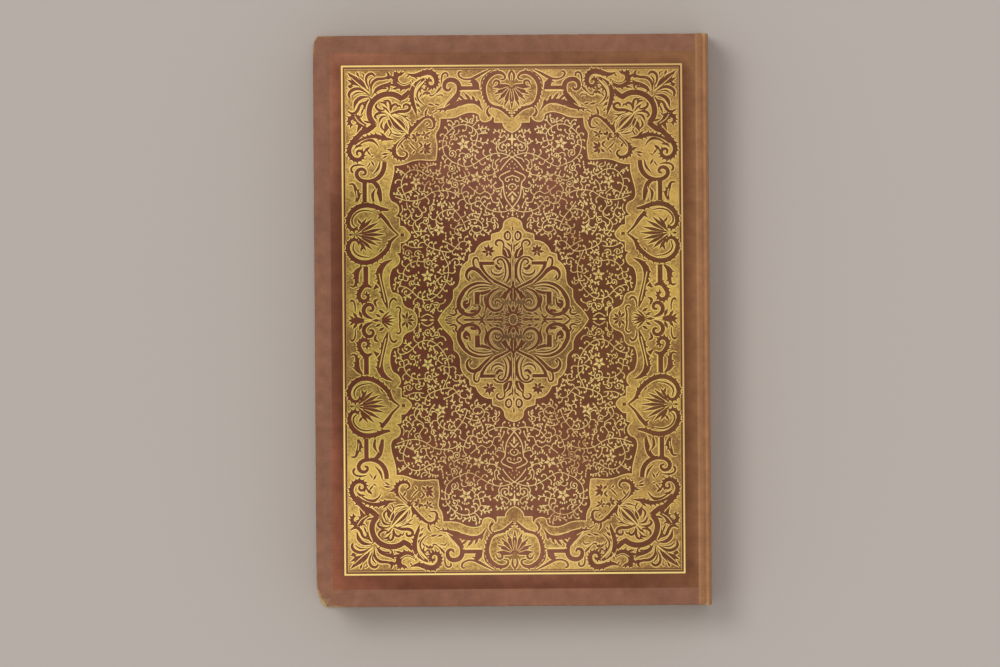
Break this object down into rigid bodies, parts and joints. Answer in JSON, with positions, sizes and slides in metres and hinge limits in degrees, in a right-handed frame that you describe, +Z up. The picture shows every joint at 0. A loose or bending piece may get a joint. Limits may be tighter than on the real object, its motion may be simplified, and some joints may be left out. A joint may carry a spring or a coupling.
{
  "type": "hardback book",
  "caption": "Cloth-bound hardback diary lying flat: rounded block of leaves between two hinged boards, gilt border and medallion blocked on both covers.",
  "frame": {"origin": "middle of the footprint, on the surface that the closed book lies on", "axes": "+X from the fore edge to the spine, +Y from tail to head, +Z up through the back cover"},
  "size_m": [0.198, 0.286, 0.0296],
  "materials": {
    "leaves": "matt",
    "endpaper": "matt",
    "book_cloth": "matt woven cloth",
    "gilt": "satin gold foil",
    "millboard": "matt",
    "headband_silk": "satin thread",
    "linen_tape": "matt",
    "mull": "matt",
    "kraft_lining": "matt"
  },
  "bodies": {
    "book_block": {"text_block": "leaves", "headband": "headband_silk", "tailband": "headband_silk", "sewing_tape_1": "linen_tape", "sewing_tape_2": "linen_tape", "sewing_tape_3": "linen_tape", "sewing_tape_4": "linen_tape", "spine_mull": "mull", "spine_lining": "kraft_lining", "spine_inlay": "kraft_lining", "spine_cloth": "book_cloth", "back_flyleaf": "endpaper", "front_flyleaf": "endpaper"},
    "back_cover": {"back_board": "millboard", "back_cloth": "book_cloth", "back_pastedown": "endpaper", "back_gilt_fillets": "gilt", "back_gilt_border": "gilt", "back_gilt_medallion": "gilt", "back_gilt_arabesque": "gilt"},
    "front_cover": {"front_board": "millboard", "front_cloth": "book_cloth", "front_pastedown": "endpaper", "front_gilt_fillets": "gilt", "front_gilt_border": "gilt", "front_gilt_medallion": "gilt", "front_gilt_arabesque": "gilt"}
  },
  "joints": [
    {"name": "back_cover_hinge", "type": "hinge", "parent": "book_block", "child": "back_cover", "pos_m": [0.09477, 0, 0.0296], "axis": [0, 1, 0], "range_deg": [0, 180]},
    {"name": "front_cover_hinge", "type": "hinge", "parent": "book_block", "child": "front_cover", "pos_m": [0.09477, 0, 0], "axis": [0, -1, 0], "range_deg": [0, 180]}
  ]
}
